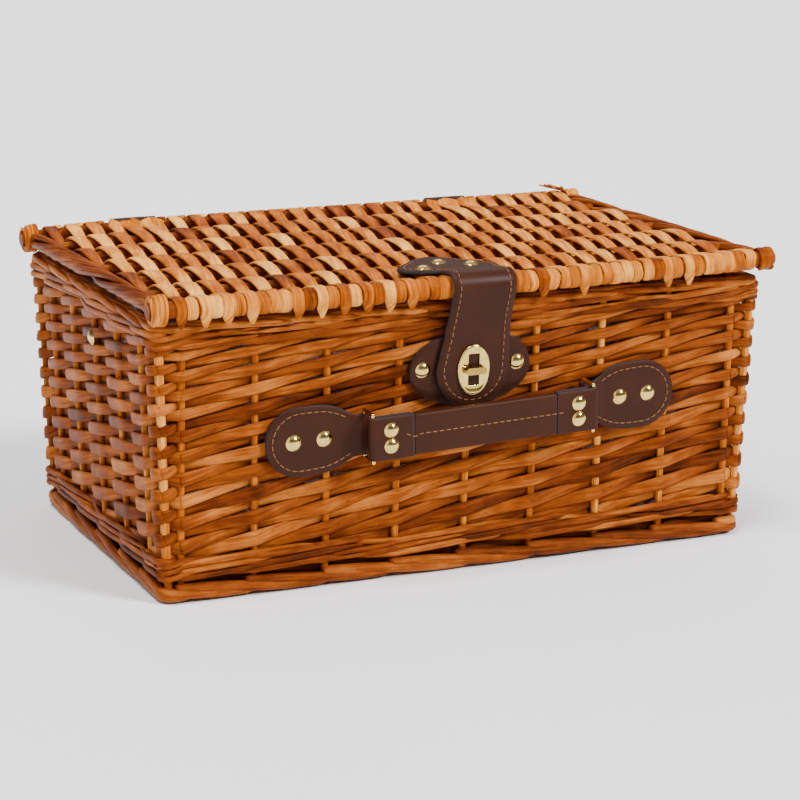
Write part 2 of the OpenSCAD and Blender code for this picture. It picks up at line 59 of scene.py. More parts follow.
# --- Sizes of the part, as its source gives them ---
FOOT_W = 383.5
FOOT_D = 239.0
RIM_W = 394.7
RIM_D = 252.3
FLARE_H = 152.6
FLARE_X = (RIM_W - FOOT_W) / 2 / FLARE_H
FLARE_Y = (RIM_D - FOOT_D) / 2 / FLARE_H
FOOT_STEP = 2.2
WALL_T = 8.0
PITCH = 44.4
STAKE_D = 4.3
POST_D = 5.0
LONG_STAKES = 9
SHORT_STAKES = 5
FOOT_H = 10.0
LOWER_WALE_Z = 14.0
WALL_Z0 = 26.0
WALL_Z1 = 151.0
RIM_Z0 = 160.0
HINGE_Y = 128.5
LID_Z = 174.5
LID_TOP = 179.5
EDGE_R = 5.0
INNER_R = 3.25
INNER_STICKS = 5
LID_HALF_W = 200.0
WEAVE_HALF_W = 186.0
TIE_X = 194.0
LEATHER_T = 2.4
LOCK_X = -1.0
LOCK_Z = 125.0
HANDLE_X = 3.0
HANDLE_Z = 94.5
HANDLE_SLOPE = radians(2.2)
RING_X = 71.0
RING_OFF = 3.4
HANDLE_OFF = 16.0
HANDLE_H = 24.6
BEND_R = 8.3


def out_x(z):
    """Half the length of the basket over its end walls, at height z."""
    return FOOT_W / 2 - FOOT_STEP + FLARE_X * z


def out_y(z):
    """Half the depth of the basket over its long walls, at height z."""
    return FOOT_D / 2 - FOOT_STEP + FLARE_Y * z


TILT_Y = atan(FLARE_Y)


def rot(axis, angle):
    """3 x 3 matrix of a turn about X, Y or Z."""
    return np.array(Matrix.Rotation(angle, 3, axis))


class Place:
    """A frame of its own for a group of pieces: p -> turn @ p + origin."""

    def __init__(self, origin=(0, 0, 0), turn=np.eye(3)):
        self.origin = np.array(origin, float)
        self.turn = turn

    def __call__(self, p):
        return np.asarray(p, float) @ self.turn.T + self.origin

    def then(self, origin, turn=np.eye(3)):
        return Place(self(np.array(origin, float)), self.turn @ turn)


WORLD = Place()
FRONT = Place((0, -out_y(0), 0), rot("X", TILT_Y))
HANDLE = FRONT.then((HANDLE_X, 0, HANDLE_Z), rot("Y", -HANDLE_SLOPE))
LOCK = FRONT.then((LOCK_X, 0, LOCK_Z))


# --- Mesh making ---
def unit(v):
    return v / np.maximum(np.linalg.norm(v, axis=-1, keepdims=True), 1e-9)


def distances(path):
    """Distance along a path to each of its points."""
    return np.concatenate([[0], np.cumsum(np.linalg.norm(np.diff(path, axis=0), axis=1))])


def directions(path, out):
    """Normals and sideways directions along a path whose flat side faces out."""
    out = np.broadcast_to(np.asarray(out, float), path.shape)
    along = unit(np.gradient(path, axis=0))
    normal = unit(out - (out * along).sum(1, keepdims=True) * along)
    return normal, np.cross(along, normal)


def points(x, y, z):
    """Points from their coordinates, any of which may be a single number."""
    return np.stack(np.broadcast_arrays(x, y, z), axis=1).astype(float)


def x_normals(path):
    """Normals of a path, at right angles to X."""
    return np.cross(ALONG_X, unit(np.gradient(path, axis=0)))


def tapered(n, share, tip):
    """A size along a rod of n points: 1, but down to tip over a share of its length at each end."""
    return np.interp(np.linspace(0, 1, n), [0, share, 1 - share, 1], [tip, 1, 1, tip])


def from_ends(n):
    """Number of steps from each of n points to the nearer end."""
    return np.minimum(np.arange(n), np.arange(n)[::-1])


def in_scene(name, data):
    made = bpy.data.objects.new(name, data)
    bpy.context.scene.collection.objects.link(made)
    return made


def mesh_object(name, verts, faces, smooth, marks, material):
    """An object made from points in millimetres, with a value of each mark at each point."""
    mesh = bpy.data.meshes.new(name)
    mesh.from_pydata((np.asarray(verts) * MM).tolist(), [], faces)
    mesh.polygons.foreach_set("use_smooth", smooth)
    for key, values in marks.items():
        mesh.attributes.new(key, "FLOAT", "POINT").data.foreach_set("value", np.asarray(values, np.float32))
    mesh.materials.append(material)
    mesh.update()
    return in_scene(name, mesh)


def spread(value, n):
    """value as an array of n numbers; a short list is stretched over the length."""
    value = np.asarray(value, float)
    if value.ndim == 0:
        return np.full(n, float(value))
    if len(value) == n:
        return value
    return np.interp(np.linspace(0, 1, n), np.linspace(0, 1, len(value)), value)


def rounded(points, trim, step=4.0, corner=5):
    """Dense path along a control polygon, with each corner rounded over the distance trim."""
    p = np.asarray(points, float)
    out = [p[0]]
    for i in range(1, len(p) - 1):
        a, c, b = p[i - 1], p[i], p[i + 1]
        ta = min(trim, 0.45 * np.linalg.norm(a - c))
        tb = min(trim, 0.45 * np.linalg.norm(b - c))
        s = c + unit(a - c) * ta
        e = c + unit(b - c) * tb
        for u in np.linspace(0, 1, corner):
            out.append((1 - u) ** 2 * s + 2 * u * (1 - u) * c + u * u * e)
    out.append(p[-1])
    dense = [out[0]]
    for a, b in zip(out[:-1], out[1:]):
        gap = np.linalg.norm(b - a)
        n = ceil(gap / step) if gap > 1e-6 else 0
        dense += [a + (b - a) * k / n for k in range(1, n + 1)]
    return np.array(dense)


class Bag:
    """Swept rods and strips gathered into one mesh, with a place along and round each and a tone."""

    def __init__(self, place=WORLD):
        self.place = place
        self.verts = []
        self.faces = []
        self.smooth = []
        self.marks = {"tone": [], "seed": [], "along": [], "across": [], "edge": []}
        self.count = 0

    def _put(self, ring, tone, seed, along, across, edge, closed=False):
        n, k, _ = ring.shape
        base = self.count
        self.verts.append(ring.reshape(-1, 3))
        self.count += n * k
        i, j = np.meshgrid(np.arange(n if closed else n - 1), np.arange(k), indexing="ij")
        near, far = base + i * k, base + (i + 1) % n * k
        j_next = (j + 1) % k
        quads = np.stack([near + j, near + j_next, far + j_next, far + j], axis=-1).reshape(-1, 4)
        self.faces.extend(quads.tolist())
        self.smooth.extend([True] * len(quads))
        if not closed:
            self.faces.append(list(range(base + k - 1, base - 1, -1)))
            self.faces.append(list(range(base + (n - 1) * k, base + n * k)))
            self.smooth.extend([False, False])
        self.marks["tone"].append(np.repeat(spread(tone, n), k))
        self.marks["seed"].append(np.full(n * k, seed))
        self.marks["along"].append(np.repeat(along, k))
        self.marks["across"].append(np.asarray(across).ravel())
        self.marks["edge"].append(np.broadcast_to(edge, (n, k)).ravel())

    def rod(self, path, out, w, t, tone=0.5, sides=10, power=2.4, twist=None, seed=None):
        """A rod or skein of width w and thickness t along path; out is the way its flat side faces."""
        path = np.asarray(path, float)
        n = len(path)
        w, t = spread(w, n), spread(t, n)
        normal, side = directions(path, out)
        if twist is not None:
            c = np.cos(spread(twist, n))[:, None]
            s = np.sin(spread(twist, n))[:, None]
            normal, side = normal * c + side * s, side * c - normal * s
        a = -pi / 2 + 2 * pi * np.arange(sides) / sides
        cx = np.sign(np.cos(a)) * np.abs(np.cos(a)) ** (2 / power)
        cy = np.sign(np.sin(a)) * np.abs(np.sin(a)) ** (2 / power)
        ring = (
            path[:, None]
            + side[:, None] * (w[:, None] / 2 * cx)[..., None]
            + normal[:, None] * (t[:, None] / 2 * cy)[..., None]
        )
        across = np.arange(sides) / sides * (w + t)[:, None] * 1.7
        seed = float(rng.random()) if seed is None else seed
        self._put(ring, tone, seed, distances(path), across, np.zeros(sides))

    def loft(self, ring):
        """A closed ring through equal sections."""
        n, k, _ = ring.shape
        self._put(ring, 0.5, 0.5, np.arange(n), np.zeros((n, k)), np.zeros(k), closed=True)

    def strip(self, path, out, w, t, bevel=0.55, inner=5, crown=0.0, shift=None):
        """A leather strip with cut edges; w and t may vary along it, and shift moves it sideways."""
        path = np.asarray(path, float)
        n = len(path)
        w, t = spread(w, n), spread(t, n)
        normal, side = directions(path, out)
        half_w, half_t = w[:, None] / 2, t[:, None] / 2
        b = np.minimum(bevel, np.minimum(half_w * 0.8, half_t * 0.8))
        inside = np.linspace(-1, 1, inner + 2)[1:-1]
        flat_w = half_w - b
        xs, ys, edge = [], [], []
        for s in (1, -1):
            for u in inside * s:
                xs.append(u * flat_w * 0.96)
                ys.append(-half_t if s > 0 else half_t + crown * (1 - u * u))
                edge.append(0.0)
            for y, at_edge in ((-s, False), (-s, True), (s, True), (s, False)):
                xs.append(s * (half_w if at_edge else flat_w))
                ys.append(y * (half_t - b if at_edge else half_t))
                edge.append(float(at_edge))
        xs = np.concatenate(xs, axis=1)
        ys = np.concatenate(ys, axis=1)
        if shift is not None:
            xs = xs + np.asarray(shift)[:, None] * np.sign(side[n // 2, 0])
        ring = path[:, None] + side[:, None] * xs[..., None] + normal[:, None] * ys[..., None]
        ends = np.zeros((n, 1))
        ends[0] = ends[-1] = 1.0
        edge = np.maximum(np.array(edge)[None], ends)
        self._put(ring, 0.5, 0.5, distances(path), xs + 40, edge)

    def stitches(self, line, out, pitch=4.3, length=3.2, d=0.75, sink=0.12):
        """Thread stitches laid along a line on a surface; out is the surface's normal."""
        line = np.asarray(line, float)
        out = np.broadcast_to(np.asarray(out, float), line.shape)
        s = distances(line)
        bow = np.sin(np.linspace(0, pi, 6))[:, None]
        start = 0.6
        while start + length < s[-1]:
            at = np.linspace(start, start + length, 6)
            mid, up = (np.stack([np.interp(at, s, v[:, i]) for i in range(3)], axis=1) for v in (line, out))
            up = unit(up)
            mid = mid + up * (bow * d * 0.45 - sink - (1 - bow) * 0.35)
            self.rod(mid, up, d, d * 0.8, tone=rng.uniform(0.3, 0.7), sides=6, power=2.0, seed=0.3)
            start += pitch

    def build(self, name, finish, replaces=(), body="basket"):
        verts = self.place(np.concatenate(self.verts))
        marks = {key: np.concatenate(parts) for key, parts in self.marks.items()}
        obj = mesh_object(name, verts, self.faces, self.smooth, marks, FINISHES[finish])
        if body:
            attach(obj, body)
        if replaces:
            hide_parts(*replaces)
        return obj


# --- Materials ---
class Graph:
    """A material's node tree, with short ways to add nodes and math."""

    def __init__(self, name):
        self.material = bpy.data.materials.new(name)
        self.material.use_nodes = True
        self.tree = self.material.node_tree
        self.tree.nodes.clear()

    def node(self, kind, settings=None, **inputs):
        made = self.tree.nodes.new(kind)
        for key, value in (settings or {}).items():
            setattr(made, key, value)
        for key, value in inputs.items():
            numbered = key[0] == "i" and key[1:].isdigit()
            socket = made.inputs[int(key[1:]) if numbered else key.replace("_", " ")]
            if isinstance(value, bpy.types.NodeSocket):
                self.tree.links.new(value, socket)
            else:
                socket.default_value = value
        return made

    def math(self, operation, a, b=0.0, clamp=False):
        settings = {"operation": operation, "use_clamp": clamp}
        return self.node("ShaderNodeMath", settings, i0=a, i1=b).outputs[0]

    def times(self, a, b):
        return self.math("MULTIPLY", a, b)

    def plus(self, a, b):
        return self.math("ADD", a, b)

    def swing(self, value, amount):
        """A noise value as a swing of amount about zero."""
        return self.times(self.math("SUBTRACT", value, 0.5), amount)

    def place(self):
        return self.node("ShaderNodeTexCoord").outputs["Object"]

    def mark(self, name):
        return self.node("ShaderNodeAttribute", {"attribute_name": name}).outputs["Fac"]

    def vector(self, x, y, z):
        return self.node("ShaderNodeCombineXYZ", X=x, Y=y, Z=z).outputs[0]

    def noise(self, vector, scale, detail=3.0, rough=0.55):
        made = self.node("ShaderNodeTexNoise", Vector=vector, Scale=scale, Detail=detail, Roughness=rough)
        return made.outputs["Fac"]

    def ramp(self, fac, stops):
        made = self.node("ShaderNodeValToRGB", Fac=fac)
        elements = made.color_ramp.elements
        while len(elements) < len(stops):
            elements.new(0.5)
        for element, (at, colour) in zip(elements, stops):
            element.position = at
            element.color = (*colour, 1.0)
        return made.outputs["Color"]

    def mix(self, fac, a, b):
        """A mix of two colours, each a socket or a linear colour."""
        a, b = ((*c, 1.0) if isinstance(c, tuple) else c for c in (a, b))
        return self.node("ShaderNodeMix", {"data_type": "RGBA"}, i0=fac, i6=a, i7=b).outputs[2]

    def bump(self, height, distance, strength=1.0):
        return self.node("ShaderNodeBump", Height=height, Distance=distance, Strength=strength).outputs[0]

    def shade(self, **inputs):
        shader = self.node("ShaderNodeBsdfPrincipled", **inputs)
        out = self.node("ShaderNodeOutputMaterial")
        self.tree.links.new(shader.outputs[0], out.inputs["Surface"])
        return self.material


def grey(level):
    """Linear colour of a grey from 0 to 255."""
    return (((level / 255 + 0.055) / 1.055) ** 2.4,) * 3


def willow_material(name, dark, deep, mid, light):
    """Varnished willow: streaks along the rod, blotches, dark specks, fine grain and a satin gloss."""
    g = Graph(name)
    along, across = g.mark("along"), g.mark("across")
    far = g.times(g.mark("seed"), 97.0)

    def noise(along_scale, across_scale, detail):
        return g.noise(g.vector(g.times(along, along_scale), g.times(across, across_scale), far), 1.0, detail)

    streak = noise(0.035, 0.75, 4.0)
    blotch = noise(0.05, 0.09, 2.0)
    grain = noise(0.12, 3.2, 3.0)
    speck = noise(0.22, 0.8, 1.0)
    value = g.plus(g.times(g.mark("tone"), 0.62), g.swing(streak, 0.85))
    value = g.plus(value, g.swing(blotch, 0.75))
    value = g.plus(value, g.swing(grain, 0.35))
    value = g.math("ADD", value, 0.19, clamp=True)
    # The last stop is pale wood, partly lightened as painted highlight.
    colour = g.ramp(value, [(0.0, dark), (0.3, deep), (0.58, mid), (1.0, light)])
    spot = g.ramp(speck, [(0.70, (0, 0, 0)), (0.78, (1, 1, 1))])
    colour = g.mix(g.times(spot, 0.55), colour, dark)
    rough = g.plus(0.30, g.times(streak, 0.22))
    height = g.plus(g.times(grain, 0.6), g.times(streak, 0.8))
    height = g.plus(height, g.times(blotch, 0.8))
    return g.shade(
        Base_Color=colour,
        Roughness=rough,
        Normal=g.bump(height, 0.00045, 0.7),
        IOR=1.24,
        Specular_IOR_Level=0.3,
        Specular_Tint=(1.0, 0.66, 0.36, 1.0),
    )


def leather_material():
    """Smooth bonded leather: a faint pebble, broad satin patches, wear, and grey cut edges."""
    g = Graph("leather")
    place = g.place()
    cells = g.node("ShaderNodeTexVoronoi", {"feature": "SMOOTH_F1"}, Vector=place, Scale=1500.0)
    fine = g.noise(place, 2600.0, 3.0)
    broad = g.noise(place, 45.0, 3.0)
    colour = g.ramp(broad, [(0.3, (0.027, 0.0076, 0.0033)), (0.7, (0.036, 0.0100, 0.0044))])
    colour = g.mix(g.times(fine, 0.12), colour, (0.070, 0.023, 0.012))
    edge = g.ramp(g.mark("edge"), [(0.45, (0, 0, 0)), (0.8, (1, 1, 1))])
    colour = g.mix(edge, colour, (0.030, 0.030, 0.033))
    rough = g.plus(0.36, g.times(broad, 0.14))
    height = g.plus(g.times(cells.outputs["Distance"], 0.5), g.times(fine, 0.4))
    return g.shade(Base_Color=colour, Roughness=rough, Normal=g.bump(height, 0.00008, 0.5), IOR=1.2)


def brass_material(name, low, high):
    """Pale polished brass with faint scratches and clouding."""
    g = Graph(name)
    place = g.place()
    cloud = g.noise(place, 220.0, 3.0)
    stretched = g.node("ShaderNodeMapping", Vector=place, Scale=(900.0, 200.0, 4000.0)).outputs[0]
    scratch = g.noise(stretched, 1.0, 2.0)
    colour = g.ramp(cloud, [(0.3, low), (0.7, high)])
    rough = g.plus(0.06, g.times(cloud, 0.12))
    return g.shade(Base_Color=colour, Metallic=1.0, Roughness=rough, Normal=g.bump(scratch, 0.00002, 0.3))


def thread_material():
    """Golden-brown waxed thread with a twist."""
    g = Graph("thread")
    turn = g.plus(g.times(g.mark("along"), 9.0), g.times(g.mark("across"), 2.5))
    ply = g.math("SINE", turn)
    colour = g.mix(g.mark("tone"), (0.10, 0.036, 0.006), (0.22, 0.085, 0.014))
    return g.shade(Base_Color=colour, Roughness=0.6, Normal=g.bump(ply, 0.0001, 0.4))


def cloth_material():
    """Cotton gingham: two woven stripes crossing, with a plain-weave bump, in colours darkened as painted
    shade.
    """
    g = Graph("gingham")
    u, v = g.mark("along"), g.mark("across")
    check = 9.0
    bars = [g.math("LESS_THAN", g.math("FRACT", g.math("DIVIDE", at, 2 * check)), 0.5) for at in (u, v)]
    both = g.times(g.plus(*bars), 0.5)
    # The cloth's white is a dim lavender grey and its red a dark purple red: painted shade of the lining down
    # inside the basket.
    white_painted_shade, mixed_painted_shade, red_painted_shade = (0.46, 0.43, 0.50), (0.22, 0.065, 0.12), (0.085, 0.008, 0.030)
    colour = g.ramp(both, [(0.0, white_painted_shade), (0.5, mixed_painted_shade), (1.0, red_painted_shade)])
    weave = g.times(*[g.math("SINE", g.times(at, 14.0)) for at in (u, v)])
    thread = g.noise(g.vector(g.times(u, 0.3), g.times(v, 6.0), 0.0), 1.0, 2.0)
    colour = g.mix(g.times(thread, 0.25), colour, (0.40, 0.36, 0.42))
    return g.shade(Base_Color=colour, Roughness=0.9, Normal=g.bump(weave, 0.0001, 0.5), Sheen_Weight=0.3)


# Linear colours, from the darkest bark to the palest wood; the palest stop is partly pale wood and partly
# painted highlight
WILLOWS = {
    "willow": ((0.034, 0.005, 0.001), (0.115, 0.020, 0.002), (0.235, 0.050, 0.004), (0.52, 0.17, 0.030)),
    # A paler copy for the stakes and the lid: partly paler wood, and on the lid its extra brightness is
    # painted top light.
    "willow_light": ((0.06, 0.010, 0.001), (0.24, 0.045, 0.001), (0.47, 0.125, 0.006), (0.90, 0.42, 0.085)),
    "willow_dark": ((0.035, 0.006, 0.002), (0.12, 0.020, 0.002), (0.22, 0.044, 0.002), (0.40, 0.11, 0.010)),
}
FINISHES = {name: willow_material(name, *colours) for name, colours in WILLOWS.items()}
FINISHES["leather"] = leather_material()
FINISHES["thread"] = thread_material()
FINISHES["brass"] = brass_material("brass", (0.60, 0.40, 0.10), (0.78, 0.56, 0.19))
# A darker copy of the brass for the turn knob and lock base: painted shade on their flat faces.
brass_painted_shade = brass_material("brass_painted_shade", (0.30, 0.185, 0.035), (0.40, 0.26, 0.06))


# --- Camera, lights and floor ---
def toward(azimuth, height):
    """Direction from the object; azimuth 0 is the front and grows to the right."""
    return np.array([sin(azimuth) * cos(height), -cos(azimuth) * cos(height), sin(height)])


YAW, PITCH_UP, ROLL = radians(-23.42), radians(12.94), radians(0.23)
VIEW_POINT = np.array([0.0, 0.0, 0.1])
VIEW_DISTANCE = 1.6337
back_dir = toward(YAW, PITCH_UP)
right_dir = unit(np.cross(UP, back_dir))
up_dir = np.cross(back_dir, right_dir)
cam_x = right_dir * cos(ROLL) + up_dir * sin(ROLL)
cam_y = up_dir * cos(ROLL) - right_dir * sin(ROLL)
camera = in_scene("camera", bpy.data.cameras.new("camera"))
camera.data.lens = 116.52
camera.data.sensor_width = 36.0
camera.data.shift_x = 0.0161
camera.data.shift_y = -0.0444
camera.data.clip_start = 0.05
camera.data.clip_end = 30.0
turn = Matrix(np.stack([cam_x, cam_y, back_dir], axis=1).tolist()).to_4x4()
camera.matrix_world = Matrix.Translation(Vector(VIEW_POINT + back_dir * VIEW_DISTANCE)) @ turn
bpy.context.scene.camera = camera


def sun_light(name, azimuth, height, power, angle, colour=(1, 1, 1)):
    """A soft distant light, with its angles in degrees."""
    data = bpy.data.lights.new(name, "SUN")
    data.energy = power
    data.angle = radians(angle)
    data.color = colour
    source = Vector(toward(radians(azimuth), radians(height)))
    in_scene(name, data).rotation_euler = source.to_track_quat("Z", "Y").to_euler()


sun_light("key", 38, 38, 4.6, 16)
sun_light("top", -60, 72, 2.9, 22)
sun_light("back", 160, 45, 0.5, 40)
sun_light("fill", -62, 25, 0.8, 50, (1.0, 0.86, 0.72))
world = bpy.data.worlds.new("studio")
world.use_nodes = True
sky = world.node_tree
way = sky.nodes.new("ShaderNodeTexCoord").outputs["Generated"]
split = sky.nodes.new("ShaderNodeSeparateXYZ")
sky.links.new(way, split.inputs[0])
glow = sky.nodes.new("ShaderNodeValToRGB")
glow.color_ramp.elements[1].position = 0.62
glow.color_ramp.elements.new(0.46)
for stop, level in zip(glow.color_ramp.elements, (0.62, 0.10, 0.80)):
    stop.color = (level, level, level, 1.0)
sky.links.new(split.outputs["Z"], glow.inputs["Fac"])
sky.links.new(glow.outputs["Color"], sky.nodes["Background"].inputs["Color"])
sky.nodes["Background"].inputs["Strength"].default_value = 0.75
bpy.context.scene.world = world

ground = Graph("studio_floor")
shade = ground.mix(ground.noise(ground.place(), 3.0, 2.0), grey(250), grey(244))
FLOOR_R = 14000.0
rim_at = np.linspace(0, 2 * pi, 97)[:-1]
disc = points(FLOOR_R * np.cos(rim_at), FLOOR_R * np.sin(rim_at), 0)
floor = mesh_object("floor", disc, [range(96)], [False], {}, ground.shade(Base_Color=shade, Roughness=0.7))
floor.location.z = -0.0004

# --- The walls' run: 32 uprights in order round the basket, seen from above, from the front left post ---
COUNT = 2 * (LONG_STAKES + SHORT_STAKES) + 4
FIRST_END = LONG_STAKES + 1
SECOND_LONG = FIRST_END + SHORT_STAKES + 1
SECOND_END = SECOND_LONG + LONG_STAKES + 1
CORNERS = (0, FIRST_END, SECOND_LONG, SECOND_END)
CORNER_ROUND = 4.0


def spot(i, n):
    """Place of stake i of the n along one wall."""
    return (i - (n - 1) / 2) * PITCH


def uprights(z):
    """Places of the uprights at height z: an array of COUNT x 2."""
    hx, hy = out_x(z) - WALL_T / 2, out_y(z) - WALL_T / 2
    long_run = [(-hx, -hy)] + [(spot(i, LONG_STAKES), -hy) for i in range(LONG_STAKES)]
    short_run = [(hx, -hy)] + [(hx, spot(i, SHORT_STAKES)) for i in range(SHORT_STAKES)]
    half_run = np.array(long_run + short_run)
    return np.concatenate([half_run, -half_run])


LOW_RUN, HIGH_RUN = uprights(0.0), uprights(100.0)


def rail(q, z, off):
    """Points and outward normals at place q of the run, height z, and off outside the stakes' plane."""
    q = np.asarray(q, float)
    z, off = spread(z, len(q)), spread(off, len(q))
    i = np.floor(q).astype(int) % COUNT
    j = (i + 1) % COUNT
    f = q - np.floor(q)
    k = z[:, None] / 100.0
    a = LOW_RUN[i] * (1 - k) + HIGH_RUN[i] * k
    b = LOW_RUN[j] * (1 - k) + HIGH_RUN[j] * k
    p = a + (b - a) * f[:, None]
    length = np.linalg.norm(b - a, axis=1)
    # d is the distance past the nearest corner post, below zero before it
    d = np.where(np.isin(i, CORNERS), f * length, 1e3)
    before = np.isin(j, CORNERS) & ((1 - f) * length < np.abs(d))
    d = np.where(before, -(1 - f) * length, d)
    near = np.abs(d) < CORNER_ROUND
    u = np.clip((d + CORNER_ROUND) / (2 * CORNER_ROUND), 0, 1)
    swing = np.where(d >= 0, u - 1, u) * pi / 2
    wall = np.digitize(i, CORNERS[1:])
    angle = wall * pi / 2 - pi / 2 + np.where(near, swing, 0.0)
    normal = points(np.cos(angle), np.sin(angle), 0)
    inset = np.where(near, (CORNER_ROUND - np.abs(d)) ** 2 / (2 * CORNER_ROUND), 0.0)
    point = np.concatenate([p, z[:, None]], axis=1) + normal * (off - inset)[:, None]
    return point, normal


def run_lengths(z):
    """Length in mm round the run at height z, up to each upright and back to the first."""
    run = uprights(z)
    return distances(np.concatenate([run, run[:1]]))


STEPS = np.array([0.0, 0.03, 0.07, 0.13, 0.22, 0.34, 0.46, 0.56, 0.68, 0.79, 0.87, 0.93, 0.97])


def places(q0, q1):
    """Dense places from upright q0 to q1, closer together at the uprights."""
    q = np.concatenate([k + STEPS for k in range(q0, q1)])
    return np.append(q, q1)


def creased(q, values, z, bend=3.5):
    """Offset at each place q from its values at the uprights: straight between them, bent at them."""
    i = np.floor(q).astype(int)
    f = q - i
    lo = values[i - i.min()]
    hi = values[i - i.min() + 1]
    run = uprights(z)
    length = np.linalg.norm(run[(i + 1) % COUNT] - run[i % COUNT], axis=1)
    slope = (hi - lo) / length
    soft = [np.maximum(bend - d, 0) ** 2 / (2 * bend) * np.abs(slope) for d in (f * length, (1 - f) * length)]
    return lo + (hi - lo) * f - np.sign(lo) * soft[0] - np.sign(hi) * soft[1]


# --- Wall weave ---
ROWS = 20
row_pitch = np.linspace(7.0, 5.5, ROWS)
row_z = WALL_Z0 + np.cumsum(row_pitch) - row_pitch / 2
sway_phase = rng.uniform(0, 6.28, 4)


def sway(q):
    """Slow rise and fall of the rows round the basket."""
    return sum(0.35 * np.sin(q * 2 * pi * n / COUNT * 2 + p) for n, p in enumerate(sway_phase, 1))


LONG_SPANS = list(range(FIRST_END)) + list(range(SECOND_LONG, SECOND_END))
FRONT_SWELL, BACK_SWELL, CROSSING_WIDTH = 1.22, 1.04, 0.97
WEAVER_T = 2.7
STAKE_BEND, POST_BEND = 2.75, 3.9
# French randing: a rod starts behind each upright and climbs one row at every upright it passes
layers = np.arange(-2, ROWS + 2)
below = row_z[0] - row_pitch[0] * np.array([2, 1])
above = row_z[-1] + row_pitch[-1] * np.array([1, 2])
layer_z = np.concatenate([below, row_z, above])
# The short spans beside the corner posts climb less than the others
SHORT_SPANS = [0, FIRST_END - 1, SECOND_LONG, SECOND_END - 1]
SHORT_CLIMB = 0.25
climbs = np.full(COUNT, (COUNT - SHORT_CLIMB * len(SHORT_SPANS)) / (COUNT - len(SHORT_SPANS)))
climbs[SHORT_SPANS] = SHORT_CLIMB
climbed = np.concatenate([[0], np.cumsum(np.tile(climbs, 3))]) - COUNT + 0.3
upright_at = np.arange(-COUNT, 2 * COUNT + 1)
weave = Bag()
for start in range(COUNT):
    q0, q1 = start - 1, start + ROWS
    q = places(q0, q1)
    layer = np.interp(q, upright_at, climbed) - start
    marks = np.arange(q0, q1 + 2)
    sign = np.where((marks - start) % 2 == 0, -1.0, 1.0)
    sign[0] = 0.1
    corner = np.isin(marks % COUNT, CORNERS)
    amount = np.where(corner, POST_BEND, STAKE_BEND) + rng.normal(0, 0.12, len(marks))
    off = creased(q, sign * amount, row_z[ROWS // 2])
    nearest = np.round(q).astype(int)
    from_mark = np.abs(q - nearest)
    on_end = ~np.isin(np.floor(q % COUNT).astype(int), LONG_SPANS)
    bump = (sign * amount)[nearest - q0] * np.minimum(1.0, (0.5 - from_mark) / 0.22)
    off = np.where(on_end, bump, off)
    lift = np.interp(q, marks, np.clip(rng.normal(0, 0.4, len(marks)), -0.8, 0.8))
    z = np.interp(layer, layers, layer_z) + lift + sway(q)
    frac = np.where(on_end, np.maximum(from_mark - 0.22, 0) * 2.2, from_mark * 2)
    full = np.where(sign[nearest - q0] > 0, FRONT_SWELL, BACK_SWELL)
    pitch_here = np.interp(layer, np.arange(ROWS), row_pitch)
    w = pitch_here * (full + (CROSSING_WIDTH - full) * frac)
    w = w * np.linspace(1.06, 0.94, len(q)) * rng.uniform(0.94, 1.06)
    ends = from_ends(len(q))
    w = w * np.clip(0.55 + 0.15 * ends, 0, 1)
    t = WEAVER_T * np.clip(0.5 + 0.15 * ends, 0, 1)
    point, normal = rail(q, z, off)
    twist = np.interp(q, marks, rng.normal(0, 0.07, len(marks)))
    tone = np.interp(q, marks, rng.normal(0.5, 0.15, len(marks))) + rng.normal(0, 0.2)
    weave.rod(point, normal, w, t, tone=np.clip(tone, 0, 1), sides=10, power=2.8, twist=twist)
WALLS = ("front_wall", "back_wall", "left_wall", "right_wall")
weave.build("wall_weave", "willow", WALLS)

# --- Stakes and posts ---
SIDES = {
    "front_stakes": range(1, FIRST_END),
    "right_stakes": range(FIRST_END + 1, SECOND_LONG),
    "back_stakes": range(SECOND_LONG + 1, SECOND_END),
    "left_stakes": range(SECOND_END + 1, COUNT),
    "corner_posts": CORNERS,
}
stubs = Bag()
for name, which in SIDES.items():
    bag = Bag()
    for i in which:
        z = np.linspace(LOWER_WALE_Z - 0.5, RIM_Z0 + 1.5, 30)
        d, off = (POST_D, 1.4) if i in CORNERS else (STAKE_D, 0.0)
        bow = np.cumsum(rng.normal(0, 0.05, len(z)))
        point, normal = rail(np.full(len(z), float(i)), z, off)
        point = point + np.cross(normal, UP) * bow[:, None]
        w = d * rng.uniform(0.97, 1.08)
        bag.rod(point, normal, w, d, tone=rng.uniform(0.3, 0.8), sides=12, power=2.0)
        z = np.linspace(FOOT_H - 3, LOWER_WALE_Z + 1, 5)
        low, normal = rail(np.full(len(z), float(i)), z, 0.0)
        stubs.rod(low, normal, d, d, tone=rng.uniform(0.2, 0.6), sides=12, power=2.0)
    bag.build(name + "_rods", "willow_light", (name,))
stubs.build("foot_stake_rods", "willow_dark", ("foot_stakes",))


# --- Wales: three rods twined in front of two stakes and behind one ---
WALE_RODS = 3


